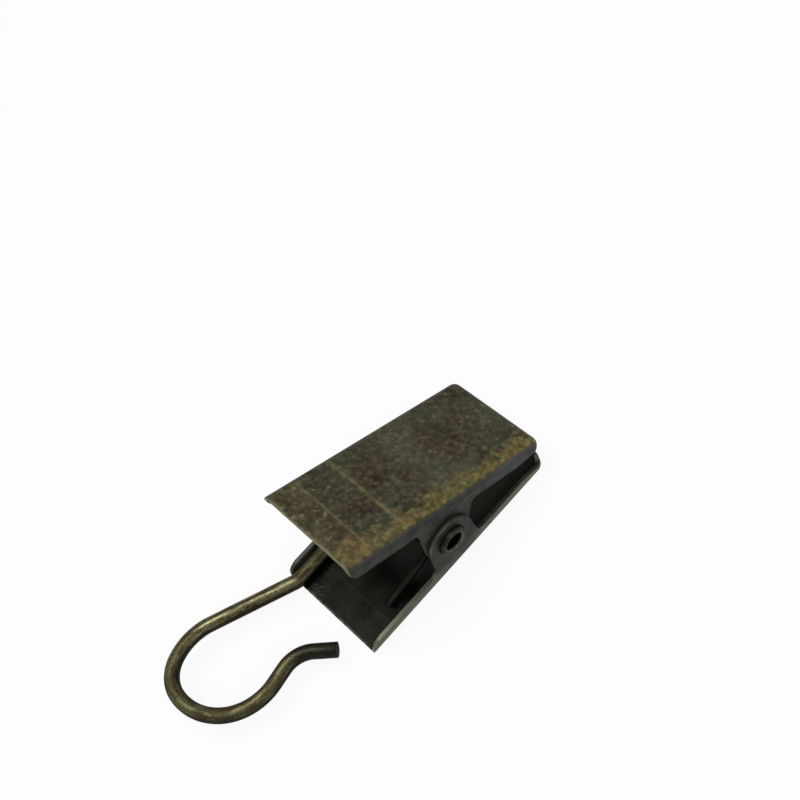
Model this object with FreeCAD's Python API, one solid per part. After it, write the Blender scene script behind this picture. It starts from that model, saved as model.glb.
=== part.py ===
import FreeCAD, Part
import math
import os

# Spring clip with a wire hook, for hanging a curtain by its top edge.
# Millimetres, +Z up. The clip lies on the flat outer face of its lower jaw (z = 0).
# +X points at the gripping nose, Y runs along the pivot, x = 0 and y = 0 are at the pivot's middle.
V = FreeCAD.Vector

# Sheet and jaw sizes. Both jaws are the same stamping, the upper one narrower so that its
# ears sit inside the ears of the lower one.
SHEET = 0.45
LOWER_WIDTH = 14.1
EAR_GAP = 0.05
UPPER_WIDTH = LOWER_WIDTH - 2 * (SHEET + EAR_GAP)
NOSE = 13.7
TAIL = 13.8
PIVOT_Z = 5.5
JAW_ANGLE = 26.0
FLANGE = 1.95
BEND_R = 1.05
TAIL_R = 0.35
FLANGE_TAIL_R = 1.7

# The lips of the two jaws meet at the middle plane, with a small gap between them. Their ends run
# down to the flanges.
LIP_GAP = 0.05
LIP = PIVOT_Z - NOSE * math.tan(math.radians(JAW_ANGLE / 2)) - LIP_GAP / 2
LIP_END = 0.62 * LIP
LIP_ROUND = 0.7 * (LIP - LIP_END)
LIP_INSET = 0.5
LIP_SIDE = 1.0
FLANGE_FRONT = 3.2

# Shallow pressed band across each handle.
BAND_FRONT = 5.75
BAND_REAR = 10.45
BAND_HALF = 5.25
BAND_DEPTH = 0.15
BAND_DRAFT = 0.25
BAND_WALL = 0.05

# Ears around the pivot.
LOWER_EAR_R = 2.9
LOWER_EAR_FRONT = 3.15
LOWER_EAR_REAR = 3.45
UPPER_EAR_R = 2.95
UPPER_EAR_FRONT = 3.05
UPPER_EAR_REAR = 4.75
EAR_BLEND = 0.8
EAR_SINK = 0.6
EAR_ROOT = FLANGE - EAR_SINK

# Semi-tubular rivet, clinched in the lower ears; the upper ears turn on it.
RIVET_R = 1.40
CLINCH_FIT = 0.02
PIVOT_FIT = 0.06
RIM_R = 1.78
RIM_T = 0.55
RIM_ROLL = 0.22
BORE_R = 1.10
BORE_DEPTH = 7.0
HEAD_R = 1.85
HEAD_T = 0.65
HEAD_ROLL = 0.30
HEAD_DIMPLE_R = 0.95
HEAD_DIMPLE = 0.25

# Torsion spring on the rivet, its legs pushing the two handles apart.
SPRING_WIRE_R = 0.42
SPRING_FIT = 0.22
SPRING_R = RIVET_R + SPRING_FIT + SPRING_WIRE_R
SPRING_TURNS = 1
SPRING_SIDE = 0.98
SPRING_Y = SHEET + SPRING_SIDE + SPRING_WIRE_R - UPPER_WIDTH / 2
SPRING_OPEN = 0.22
SPRING_PITCH = 2 * SPRING_WIRE_R + SPRING_OPEN
LEG_REACH = 9.1
LEG_FIT = 0.06

# Wire hook with an open eye around the rivet.
WIRE_R = 0.85
EYE_FIT = 0.10
EYE_SIDE_FIT = 0.10
EYE_R = RIVET_R + EYE_FIT + WIRE_R
EYE_Y = UPPER_WIDTH / 2 - SHEET - EYE_SIDE_FIT - WIRE_R
EYE_TURN = 235.0
WIRE_REST = 0.05
SHANK_LEVEL_X = -9.4
SHANK_EASE = 22.0
HOOK_BEND_X = -13.1
HOOK_TILT = 6.0
FLARE_R = 2.9
FLARE = 20.7
RUN = 10.15
LOOP_R1, LOOP_TURN1 = 6.7, 45.5
LOOP_R2, LOOP_TURN2 = 4.15, 59.8
LOOP_R3, LOOP_TURN3 = 6.56, 108.0
RETURN_RUN = 1.85
TIP_R, TIP_TURN = 3.7, 57.7
TIP_RUN = 2.6

PIVOT = V(0, 0, PIVOT_Z)
ACROSS = V(0, 1, 0)
# Blocks that cut or trim reach past the metal by SPARE; points closer than NEAR count as one.
SPARE = 2.0
NEAR = 1e-3


def prism(points, width):
    """Side outline (x, z points) drawn out across the width, centred on y = 0."""
    line = Part.makePolygon([V(x, -width / 2, z) for x, z in points + points[:1]])
    return Part.Face(line).extrude(V(0, width, 0))


def rod(radius, y0, y1):
    """Round bar on the pivot axis between two y values."""
    return Part.makeCylinder(radius, y1 - y0, V(0, y0, PIVOT_Z), ACROSS)


def edges_where(shape, test):
    """Edges whose end points and middle all pass a test."""
    found = []
    for edge in shape.Edges:
        mid = edge.valueAt((edge.FirstParameter + edge.LastParameter) / 2)
        if all(test(p) for p in [v.Point for v in edge.Vertexes] + [mid]):
            found.append(edge)
    return found


def tangent_touch(px, pz, radius, side):
    """Touch point on a circle about the pivot of the tangent from (px, pz); side +1 or -1."""
    dx, dz = px, pz - PIVOT_Z
    dist = math.hypot(dx, dz)
    turn = side * math.acos(radius / dist)
    ang = math.atan2(dz, dx) + turn
    return radius * math.cos(ang), PIVOT_Z + radius * math.sin(ang)


def tub(width, inset):
    """Rounded tray block, open upward; inset is how far its walls stand inside the outer face."""
    back = 0 if inset == 0 else SPARE
    x0, x1 = -TAIL - back, NOSE - inset
    half = width / 2 - inset
    high = 3 * PIVOT_Z
    block = Part.makeBox(x1 - x0, 2 * half, high, V(x0, -half, inset))
    upright = edges_where(block, lambda p: abs(p.x - x1) < NEAR and abs(abs(p.y) - half) < NEAR)
    block = block.makeFillet(BEND_R - inset, upright)
    low = edges_where(block, lambda p: abs(p.z - inset) < NEAR and p.x > x0 + NEAR or
                      abs(p.z - inset) < NEAR and abs(abs(p.y) - half) < NEAR)
    return block.makeFillet(BEND_R - inset, low)


def ear(radius, front, rear, width):
    """Ear outline about the pivot, wider at its root and tangent to the round end."""
    fx, fz = tangent_touch(front, EAR_ROOT, radius, 1)
    rx, rz = tangent_touch(-rear, EAR_ROOT, radius, -1)
    web = prism([(front, EAR_ROOT), (fx, fz), (0, PIVOT_Z), (rx, rz), (-rear, EAR_ROOT)], width)
    return web.fuse(rod(radius, -width / 2, width / 2))


def trim(width, radius, front, rear):
    """Everything of the tray that stays: plate, low flanges, ears and the front lip."""
    wide = width + 2 * SPARE
    side = prism([(-TAIL, -SPARE), (-TAIL, FLANGE), (NOSE - FLANGE_FRONT, FLANGE), (NOSE - LIP_SIDE, LIP_END),
                  (NOSE + SPARE, LIP_END), (NOSE + SPARE, -SPARE)], wide)
    rear_tops = edges_where(side, lambda p: abs(p.x + TAIL) < NEAR and abs(p.z - FLANGE) < NEAR)
    side = side.makeFillet(FLANGE_TAIL_R, rear_tops)
    keep = side.fuse(ear(radius, front, rear, wide)).removeSplitter()
    roots = edges_where(keep, lambda p: abs(p.z - FLANGE) < NEAR and -rear < p.x < front)
    keep = keep.makeFillet(EAR_BLEND, roots)
    lip_half = width / 2 - LIP_INSET
    lip = Part.makeBox(BEND_R + SPARE, 2 * lip_half, LIP + SPARE, V(NOSE - BEND_R, -lip_half, -SPARE))
    tops = edges_where(lip, lambda p: abs(p.z - LIP) < NEAR and abs(abs(p.y) - lip_half) < NEAR)
    lip = lip.makeFillet(LIP_ROUND, tops)
    plan = Part.makeBox(TAIL + NOSE + SPARE, width, 4 * PIVOT_Z, V(-TAIL, -width / 2, -SPARE))
    corners = edges_where(plan, lambda p: abs(p.x + TAIL) < NEAR and abs(abs(p.y) - width / 2) < NEAR)
    return keep.fuse(lip).common(plan.makeFillet(TAIL_R, corners))


def band(z, grow):
    """Shallow block with sloping sides, for pressing the band into the handle."""
    def outline(inset, level):
        x0, x1 = -BAND_REAR - grow + inset, -BAND_FRONT + grow - inset
        half = BAND_HALF + grow - inset
        return Part.makePolygon([V(x0, -half, level), V(x1, -half, level), V(x1, half, level),
                                 V(x0, half, level), V(x0, -half, level)])
    return Part.makeLoft([outline(0, z), outline(BAND_DRAFT, z + BAND_DEPTH)], True, True)


def jaw(width, radius, front, rear, fit):
    """One stamped jaw, outer face down on z = 0."""
    shell = tub(width, 0).cut(tub(width, SHEET))
    shell = shell.common(trim(width, radius, front, rear))
    shell = shell.fuse(band(SHEET - NEAR, BAND_WALL)).cut(band(-NEAR, 0))
    shell = shell.cut(rod(RIVET_R + fit, -width, width))
    return shell.removeSplitter()


def rivet():
    """Tubular rivet: hollow rim on the near side (-y), closed and dished head on the far side."""
    half = LOWER_WIDTH / 2
    rim_y, head_y, bore_y = -half - RIM_T, half + HEAD_T, -half + BORE_DEPTH
    section = [(0, bore_y), (BORE_R, bore_y), (BORE_R, rim_y),
               (RIM_R - RIM_ROLL, rim_y), (RIM_R, rim_y + RIM_ROLL), (RIM_R, -half), (RIVET_R, -half),
               (RIVET_R, half), (HEAD_R, half), (HEAD_R, head_y - HEAD_ROLL), (HEAD_R - HEAD_ROLL, head_y),
               (HEAD_DIMPLE_R, head_y), (0, head_y - HEAD_DIMPLE)]
    outline = Part.makePolygon([V(r, y, PIVOT_Z) for r, y in section + section[:1]])
    return Part.Face(outline).revolve(PIVOT, ACROSS, 360)


def round_wire(path, radius):
    """Round wire along a path of touching, tangent lines and arcs."""
    first = path[0]
    start, ahead = first.valueAt(first.FirstParameter), first.tangentAt(first.FirstParameter)
    section = Part.Wire([Part.makeCircle(radius, start, ahead)])
    return Part.Wire(path).makePipeShell([section], True, False)


def spring():
    """Torsion spring: lower leg, coil round the rivet in half turns, upper leg."""
    # Each leg runs from the coil to lie on the pressed band of its jaw.
    level = SHEET + BAND_DEPTH + SPRING_WIRE_R + LEG_FIT
    x, z = tangent_touch(-LEG_REACH, level, SPRING_R, 1)
    begin, run = math.atan2(z - PIVOT_Z, x), math.hypot(LEG_REACH + x, z - level)
    total = (-math.radians(JAW_ANGLE) - 2 * begin) % (2 * math.pi)
    # Each half turn is a flat arc that steps over by half a pitch; the two ends share what is left over.
    halves = 2 * SPRING_TURNS
    if total > math.pi:
        total, halves = total - math.pi, halves + 1

    def at(a, step):
        return V(SPRING_R * math.cos(a), SPRING_Y + step * SPRING_PITCH / 2, PIVOT_Z + SPRING_R * math.sin(a))

    def arc(a, b, step, rise):
        return Part.Arc(at(a, step), at((a + b) / 2, step + rise / 2), at(b, step + rise)).toShape()

    def ahead(a):
        return V(-math.sin(a), 0, math.cos(a))
    angle = begin + total / 2
    path = [Part.makeLine(at(begin, 0) - ahead(begin) * run, at(begin, 0)), arc(begin, angle, 0, 0)]
    for step in range(halves):
        path.append(arc(angle, angle + math.pi, step, 1))
        angle += math.pi
    last = angle + total / 2
    path.append(arc(angle, last, halves, 0))
    path.append(Part.makeLine(at(last, halves), at(last, halves) + ahead(last) * run))
    return round_wire(path, SPRING_WIRE_R)


def eased(points, radii):
    """Straight runs through the points, each inner corner rounded to its radius."""
    edges, at = [], points[0]
    for before, here, after, radius in zip(points, points[1:], points[2:], radii):
        u, w = (before - here).normalize(), (after - here).normalize()
        half = u.getAngle(w) / 2
        reach = radius / math.tan(half)
        toward = (u + w).normalize()
        a, b = here + u * reach, here + w * reach
        middle = here + toward * (radius / math.sin(half) - radius)
        edges += [Part.makeLine(at, a), Part.Arc(a, middle, b).toShape()]
        at = b
    return edges, at


def hook():
    """Wire hook: open eye on the rivet, shank along the lower plate, flare, loop and turned-out tip."""
    level = SHEET + BAND_DEPTH + WIRE_REST + WIRE_R
    tx, tz = tangent_touch(SHANK_LEVEL_X, level, EYE_R, 1)
    begin = math.atan2(tz - PIVOT_Z, tx)

    def on_eye(a):
        return V(EYE_R * math.cos(a), EYE_Y, PIVOT_Z + EYE_R * math.sin(a))
    turn = math.radians(EYE_TURN)
    path = [Part.Arc(on_eye(begin + turn), on_eye(begin + turn / 2), on_eye(begin)).toShape()]

    # The shank leaves the eye, eases down to lie on the plate and flares out behind its rear edge.
    settle = V(SHANK_LEVEL_X, EYE_Y, level)
    tilt, flare = math.radians(HOOK_TILT), math.radians(FLARE)
    along = V(-math.cos(tilt), 0, math.sin(tilt))
    bend = V(HOOK_BEND_X - FLARE_R * math.tan(flare / 2), EYE_Y, level)
    out = along * math.cos(flare) + ACROSS * math.sin(flare)
    reach = FLARE_R * math.tan(flare / 2) + RUN
    runs, at = eased([on_eye(begin), settle, bend, bend + out * reach], [SHANK_EASE, FLARE_R])
    end = bend + out * reach
    path += runs + [Part.makeLine(at, end)]

    # Loop and tip lie in one plane, tilted a little off the plate; heading is counted in that plane.
    at, heading = end, flare

    def ahead(a):
        return along * math.cos(a) + ACROSS * math.sin(a)
    for radius, degrees, run in ((LOOP_R1, -LOOP_TURN1, 0), (LOOP_R2, -LOOP_TURN2, 0),
                                 (LOOP_R3, -LOOP_TURN3, RETURN_RUN), (TIP_R, TIP_TURN, TIP_RUN)):
        angle = math.radians(degrees)
        side = math.copysign(math.pi / 2, angle)
        centre = at + ahead(heading + side) * radius
        mid = centre - ahead(heading + angle / 2 + side) * radius
        stop = centre - ahead(heading + angle + side) * radius
        path.append(Part.Arc(at, mid, stop).toShape())
        at, heading = stop, heading + angle
        if run:
            path.append(Part.makeLine(at, at + ahead(heading) * run))
            at = at + ahead(heading) * run
    return round_wire(path, WIRE_R)


lower = jaw(LOWER_WIDTH, LOWER_EAR_R, LOWER_EAR_FRONT, LOWER_EAR_REAR, CLINCH_FIT)
upper = jaw(UPPER_WIDTH, UPPER_EAR_R, UPPER_EAR_FRONT, UPPER_EAR_REAR, PIVOT_FIT)
# The upper jaw is turned over about the middle plane of the closed clip.
slope = math.radians(JAW_ANGLE / 2)
upper.rotate(PIVOT, V(math.cos(slope), 0, -math.sin(slope)), 180)

os.makedirs("parts", exist_ok=True)
lower.exportStep("parts/lower_jaw.step")
upper.exportStep("parts/upper_jaw.step")
rivet().exportStep("parts/rivet.step")
spring().exportStep("parts/spring.step")
hook().exportStep("parts/hook.step")
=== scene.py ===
"""Looks of a sprung curtain clip with a wire hook, in worn antique bronze, on a white table."""
import logging
from dataclasses import dataclass, field
from enum import Enum, IntEnum
from typing import Any, Union

import bmesh
import bpy
import numpy as np
from mathutils import Matrix, Vector


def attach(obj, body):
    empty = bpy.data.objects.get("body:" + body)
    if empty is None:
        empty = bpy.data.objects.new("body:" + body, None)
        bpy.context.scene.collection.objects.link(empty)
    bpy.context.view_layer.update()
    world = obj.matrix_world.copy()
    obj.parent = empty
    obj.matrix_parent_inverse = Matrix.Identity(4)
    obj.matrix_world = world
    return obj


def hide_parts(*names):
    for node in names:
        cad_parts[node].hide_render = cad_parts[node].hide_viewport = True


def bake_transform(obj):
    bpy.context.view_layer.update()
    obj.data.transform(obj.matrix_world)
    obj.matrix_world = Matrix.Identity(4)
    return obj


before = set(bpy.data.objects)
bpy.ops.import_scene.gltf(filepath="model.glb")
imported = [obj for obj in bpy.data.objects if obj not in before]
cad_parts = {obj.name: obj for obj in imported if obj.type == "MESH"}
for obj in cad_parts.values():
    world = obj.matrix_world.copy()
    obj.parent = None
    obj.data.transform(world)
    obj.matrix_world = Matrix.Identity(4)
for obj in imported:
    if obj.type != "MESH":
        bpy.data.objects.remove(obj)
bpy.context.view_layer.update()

# Sizes are in millimetres, as in the part's source; MM turns them into the scene's metres.
MM = 0.001
PIVOT_Z = 5.5
PIVOT = np.array([0.0, 0.0, PIVOT_Z])
ACROSS = np.array([0.0, 1.0, 0.0])
JAW_ANGLE = np.radians(26.0)
SHEET = 0.45
EAR_PLAY = 0.05
LOWER_WIDTH = 14.1
UPPER_WIDTH = LOWER_WIDTH - 2 * (SHEET + EAR_PLAY)
SHARP_ANGLE = np.radians(40.0)

# Old plating gives back little light at a grazing angle, so its specular part is held down.
SPECULAR_LEVEL = 0.4
EDGE_TINT = (0.66, 0.66, 0.64, 1.0)
WHITE = (1.0, 1.0, 1.0, 1.0)

log = logging.getLogger("curtain_clip")

Number = Union[int, float]
Colour = tuple[float, float, float, float]
Value = Union["Field", Number, tuple]


def srgb(red: Number, green: Number, blue: Number) -> Colour:
    """Turns a screen colour of 0 to 255 into the linear colour that a shader takes, by the sRGB curve.

    Args:
        red, green, blue: the colour as it looks on the screen.

    Returns:
        Linear red, green and blue, and an alpha of 1.
    """
    share = np.array([red, green, blue], float) / 255.0
    linear = np.where(share <= 0.04045, share / 12.92, ((share + 0.055) / 1.055) ** 2.4)
    return (*(float(c) for c in linear), 1.0)


@dataclass(frozen=True)
class Field:
    """A value that changes over a surface: one output socket, with ordinary arithmetic."""

    graph: "Graph"
    socket: bpy.types.NodeSocket

    def _math(self, operation: str, first: Value, second: Value = 0.0) -> "Field":
        """Adds one Math node."""
        return self.graph.node("ShaderNodeMath", {"operation": operation}, {0: first, 1: second})

    def __add__(self, other: Value) -> "Field":
        """Sum."""
        return self._math("ADD", self, other)

    def __radd__(self, other: Value) -> "Field":
        """Sum, with the number first."""
        return self._math("ADD", other, self)

    def __sub__(self, other: Value) -> "Field":
        """Difference."""
        return self._math("SUBTRACT", self, other)

    def __rsub__(self, other: Value) -> "Field":
        """Difference, with the number first."""
        return self._math("SUBTRACT", other, self)

    def __mul__(self, other: Value) -> "Field":
        """Product."""
        return self._math("MULTIPLY", self, other)

    def __rmul__(self, other: Value) -> "Field":
        """Product, with the number first."""
        return self._math("MULTIPLY", other, self)

    def __abs__(self) -> "Field":
        """Size without sign."""
        return self._math("ABSOLUTE", self)

    def least(self, other: Value) -> "Field":
        """The smaller of two values."""
        return self._math("MINIMUM", self, other)

    def most(self, other: Value) -> "Field":
        """The larger of two values."""
        return self._math("MAXIMUM", self, other)

    def rise(self, start: Number, end: Number) -> "Field":
        """Smooth step from 0 at start to 1 at end; start may be the larger one.

        Args:
            start: where the step leaves 0.
            end: where the step reaches 1.

        Returns:
            The stepped value.
        """
        low, high = min(start, end), max(start, end)
        out = (0.0, 1.0) if end > start else (1.0, 0.0)
        return self.graph.node(
            "ShaderNodeMapRange", {"interpolation_type": "SMOOTHSTEP", "clamp": True},
            {"Value": self, "From Min": low, "From Max": high, "To Min": out[0], "To Max": out[1]})

    def swing(self, amount: Number) -> "Field":
        """Turns noise about one half into a swing about 0."""
        return amount * (self - 0.5)

    def near(self, centre: Number, reach: Number) -> "Field":
        """Soft stripe: 1 where the value is at the centre, 0 at reach from it."""
        return abs(self - centre).rise(reach, 0.0)


class Graph:
    """Node tree of one material, built from expressions."""

    def __init__(self, name: str) -> None:
        """Starts an empty tree.

        Args:
            name: the material's name.
        """
        self.material = bpy.data.materials.new(name)
        self.material.use_nodes = True
        self.tree = self.material.node_tree
        self.tree.nodes.clear()

    def node(self, kind: str, settings: dict[str, Any], values: dict[Union[str, int], Any],
             out: Union[str, int] = 0) -> Field:
        """Adds any node.

        Args:
            kind: the node's type name.
            settings: properties, set before the sockets.
            values: numbers, colours or fields for the sockets, by name or place.
            out: which output to give back.

        Returns:
            The chosen output.
        """
        made = self.tree.nodes.new(kind)
        for key, setting in settings.items():
            setattr(made, key, setting)
        for key, value in values.items():
            if isinstance(value, Field):
                self.tree.links.new(value.socket, made.inputs[key])
            else:
                made.inputs[key].default_value = value
        return Field(self, made.outputs[out])

    def place(self) -> tuple[Field, Field, Field]:
        """Object coordinates in millimetres, one by one.

        Returns:
            The place along x, y and z.
        """
        spot = self.shade(self.node("ShaderNodeTexCoord", {}, {}, "Object"), 1.0 / MM)
        x, y, z = (self.node("ShaderNodeSeparateXYZ", {}, {"Vector": spot}, axis) for axis in "XYZ")
        return x, y, z

    def vector(self, x: Value, y: Value, z: Value) -> Field:
        """Joins three values to a vector."""
        return self.node("ShaderNodeCombineXYZ", {}, {0: x, 1: y, 2: z})

    def attribute(self, name: str, out: str = "Fac") -> Field:
        """Reads a value stored on the mesh."""
        return self.node("ShaderNodeAttribute", {"attribute_name": name}, {}, out)

    def noise(self, where: Field, scale: float, detail: float = 3.0, rough: float = 0.55,
              twist: float = 0.0) -> Field:
        """Cloudy noise.

        Args:
            where: coordinates in millimetres.
            scale: waves in a millimetre.
            detail: octaves.
            rough: strength of the finer octaves.
            twist: how far the pattern is bent by itself.

        Returns:
            Noise about one half.
        """
        return self.node("ShaderNodeTexNoise", {"noise_dimensions": "3D"},
                         {"Vector": where, "Scale": scale, "Detail": detail, "Roughness": rough,
                          "Distortion": twist}, "Fac")

    def mix(self, amount: Value, first: Value, second: Value) -> Field:
        """Blends two colours by an amount of 0 to 1."""
        return self.node("ShaderNodeMix", {"data_type": "RGBA", "clamp_factor": True},
                         {0: amount, 6: first, 7: second}, 2)

    def shade(self, colour: Field, amount: Value) -> Field:
        """Multiplies a colour or a vector by a value."""
        return self.node("ShaderNodeVectorMath", {"operation": "SCALE"}, {0: colour, "Scale": amount})

    def metal(self, colour: Value, metallic: Value, rough: Value, height: Field,
              depth: float) -> bpy.types.Material:
        """Ends the tree in one metal surface.

        Args:
            colour: base colour.
            metallic: share of bare metal.
            rough: roughness.
            height: field that lifts the surface.
            depth: lift in millimetres where the height is 1.

        Returns:
            The finished material.
        """
        bump = self.node("ShaderNodeBump", {}, {"Strength": 1.0, "Distance": depth * MM, "Height": height})
        return self.end(self.node(
            "ShaderNodeBsdfPrincipled", {},
            {"Base Color": colour, "Metallic": metallic, "Roughness": rough, "Normal": bump,
             "Specular IOR Level": SPECULAR_LEVEL, "Specular Tint": EDGE_TINT}))

    def end(self, surface: Field) -> bpy.types.Material:
        """Links a shader to the material's output.

        Args:
            surface: the shader.

        Returns:
            The finished material.
        """
        end = self.tree.nodes.new("ShaderNodeOutputMaterial")
        self.tree.links.new(surface.socket, end.inputs["Surface"])
        return self.material


class Place(Enum):
    """Which of the two jaws a stamping is."""

    LOWER = "lower"
    UPPER = "upper"


@dataclass(frozen=True)
class SheetMap:
    """Where a point lies on a stamping, in the stamping's own millimetres, and the noises of its plating."""

    along: Field
    across: Field
    up: Field
    edge: Field
    where: Field
    grain: Field
    patch: Field
    cloud: Field


@dataclass(frozen=True)
class SheetWear:
    """How far each kind of wear has gone at a point of a stamping, from 0 to 1, and all of it together; the
    thin lines along the creases and the broad stripe beside them also carry painted highlight.
    """

    rub: Field
    tab: Field
    lines: Field
    ridge_light: Field
    corner: Field
    total: Field


@dataclass(frozen=True)
class AgedBronze:
    """Dark plated sheet, rubbed to brass along one long bend and the creases, painted nearly black inside as
    painted shade, with painted highlights and sheen on its creases, cut edges and flanges.

    Places are in the stamping's own frame: along towards the nose and across towards the rubbed side, both
    from the pivot's middle, up from the outer face, and edge inwards from the rubbed side. Scales are waves
    in a millimetre.
    """

    place: Place
    half_width: float
    brown: Colour = srgb(73, 67, 53)
    olive: Colour = srgb(73, 74, 58)
    plum: Colour = srgb(79, 69, 56)
    tan: Colour = srgb(112, 103, 78)
    brass: Colour = srgb(132, 124, 61)
    copper: Colour = srgb(142, 118, 78)
    pale: Colour = srgb(160, 150, 112)
    grey: Colour = srgb(60, 60, 55)
    slate: Colour = srgb(43, 44, 43)
    # Painted shade: the nearly black of the inside.
    shade_black: Colour = srgb(27, 29, 23)
    moss: Colour = srgb(40, 42, 36)
    # Light metal of the cut edges: worn, and painted highlight.
    bare_and_glint: Colour = srgb(136, 129, 100)
    rim: Colour = srgb(122, 119, 103)
    # Pale bluish painted sheen, a reflection laid on the flanges.
    painted_sheen: Colour = srgb(78, 81, 82)
    # Painted fill light: a lighter grey laid deep between the jaws, where shade would leave the inside black.
    painted_fill: Colour = srgb(76, 78, 70)
    noise_shift: tuple[float, float, float] = (37.3, 11.7, 23.1)
    grain_scale: float = 1.5
    patch_scale: float = 0.65
    cloud_scale: float = 0.22
    tint_scale: float = 2.4
    fleck_scale: float = 1.2
    smear_scale: float = 1.6
    smear_stretch: tuple[float, float] = (0.5, 2.2)
    rub_reach: float = 1.45
    creases: tuple[float, float] = (-5.85, -10.35)
    crease_wander: float = 0.35
    crease_half: float = 0.23
    crease_ends: tuple[float, float] = (6.1, 5.3)
    corner_at: float = 5.2
    tab: float = -10.45
    lip: float = -13.78
    scuff: tuple[float, float] = (-12.6, -3.4)
    closed_in: tuple[float, float] = (-6.5, -2.0)
    flank_along: tuple[float, float] = (-6.0, -9.0)
    flank_across: tuple[float, float] = (-5.9, -6.4)
    lift: float = 0.03

    def sheet_map(self, g: Graph) -> SheetMap:
        """Finds a point's place on the stamping as it lies on its outer face.

        Formula: the upper jaw is the lower one turned over about the middle plane, so its along and up are
        the same turn of x and z about the pivot. Across is -y on both. The noises read a shifted place,
        because all octaves of a noise meet at its origin and would show a star there.

        Args:
            g: the material's tree.

        Returns:
            The place, and the noises there.
        """
        x, y, z = g.place()
        along, across, up = x, y * -1.0, z
        if self.place is Place.UPPER:
            c, s = float(np.cos(JAW_ANGLE)), float(np.sin(JAW_ANGLE))
            height = z - PIVOT_Z
            along, up = x * c - height * s, PIVOT_Z - x * s - height * c
        ahead, aside, above = self.noise_shift
        where = g.vector(along + ahead, across + aside, up + above)
        return SheetMap(along, across, up, self.half_width - across, where,
                        grain=g.noise(where, self.grain_scale, 3.0, 0.58),
                        patch=g.noise(where, self.patch_scale, 3.0, 0.6),
                        cloud=g.noise(where, self.cloud_scale, 3.0, 0.55, 0.4))

    def plating(self, g: Graph, at: SheetMap) -> Field:
        """Mottled dark plating: brown, olive and plum clouds with fine light and dark grain.

        Args:
            g: the material's tree.
            at: place on the stamping.

        Returns:
            The colour, with a few pale nicks on the handle.
        """
        tint = g.noise(at.where, self.tint_scale, 2.0, 0.6)
        fleck = g.noise(at.where, self.fleck_scale, 2.0, 0.5)
        skin = g.mix(at.cloud.rise(0.40, 0.60), self.brown, self.olive)
        skin = g.mix(at.patch.rise(0.44, 0.62) * tint.rise(0.40, 0.62) * 0.6, skin, self.plum)
        tone = 1.0 + at.grain.swing(1.7) + tint.swing(0.9) + at.cloud.swing(0.9) + at.patch.swing(0.7)
        middle, band = at.along.near(2.0, 6.0), at.along.near(-8.1, 2.6)
        before_band = at.along.near(-4.4, 2.4)
        skin = g.shade(skin, tone + (middle * 0.2 - before_band * 0.12 - band * 0.06))
        skin = g.mix(at.grain.rise(0.52, 0.68) * 0.4, skin, self.tan)
        nicks = fleck.rise(0.60, 0.70) * tint.rise(0.40, 0.60) * (0.35 + 0.65 * at.along.rise(-5.0, -9.0))
        return g.mix(nicks * 0.55, skin, self.pale)

    def by_creases(self, at: SheetMap, shift: float, reach: float) -> Field:
        """Soft stripes along both creases of the pressed band, which wander a little.

        Args:
            at: place on the stamping.
            shift: how far the stripes lie outside the band.
            reach: their half width.

        Returns:
            1 in the middle of a stripe, 0 beside it.
        """
        front, rear = (at.along + at.patch.swing(self.crease_wander) - crease for crease in self.creases)
        return front.near(shift, reach) + rear.near(-shift, reach)

    def wear(self, at: SheetMap) -> SheetWear:
        """Finds the rubbed places: one long bend, most of all on the handle and the tab, and the creases,
        whose thin lines and broad stripes are painted highlight as well as wear.

        Args:
            at: place on the stamping.

        Returns:
            The wear.
        """
        tab = at.along.rise(self.tab + 0.2, self.tab - 0.5)
        reach = self.rub_reach + 0.45 * at.along.rise(6.0, 0.0) + 0.5 * at.along.rise(8.5, 11.5) + tab
        reach = reach + at.patch.swing(4.6) + at.grain.swing(2.0)
        rub = (reach - at.edge).rise(-1.3, 1.1) * at.edge.rise(0.10, 0.50)
        rub = rub * (1.0 - 0.32 * at.along.rise(-1.5, -4.0))
        span = abs(at.across).rise(*self.crease_ends)
        # Painted highlight with some wear: thin pale lines and a broad tan stripe where light catches the
        # creases.
        lines = self.by_creases(at, 0.0, self.crease_half) * span * (0.45 + 0.6 * at.grain.rise(0.36, 0.62))
        ridge_light = self.by_creases(at, 0.05, 0.6) * span * (0.4 + 0.8 * at.patch)
        halo = self.by_creases(at, 0.35, 1.0) * span * at.patch.rise(0.36, 0.62)
        corner = self.by_creases(at, 0.1, 0.7) * at.across.near(self.corner_at, 0.9)
        total = (rub * (0.74 - 0.1 * tab) + halo * 0.22 + corner * 0.3 + tab * 0.14).least(1.0)
        return SheetWear(rub, tab, lines, ridge_light, corner, total)

    def rubbed(self, g: Graph, at: SheetMap, wear: SheetWear, skin: Field) -> Field:
        """Lays the worn metal over the plating, brass in one patch and copper in the next, and paints
        highlight along the creases.

        Args:
            g: the material's tree.
            at: place on the stamping.
            wear: how worn it is there.
            skin: the plating's colour.

        Returns:
            The outer face's colour.
        """
        metal = g.mix(at.patch.rise(0.42, 0.60) * 0.7 + wear.tab * 0.3, self.brass, self.copper)
        skin = g.mix(wear.total * (0.45 + 0.7 * at.grain.rise(0.32, 0.68)), skin, metal)
        skin = g.mix(wear.rub * at.grain.rise(0.54, 0.66) * (0.35 - 0.25 * wear.tab), skin, self.pale)
        # Painted highlight along the creases: the broad tan stripe here and the thin pale lines below.
        skin = g.mix(wear.ridge_light * 0.32, skin, self.tan)
        skin = g.mix(wear.corner * 0.45, skin, self.copper)
        return g.mix(wear.lines * 0.34, skin, self.pale)

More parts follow.
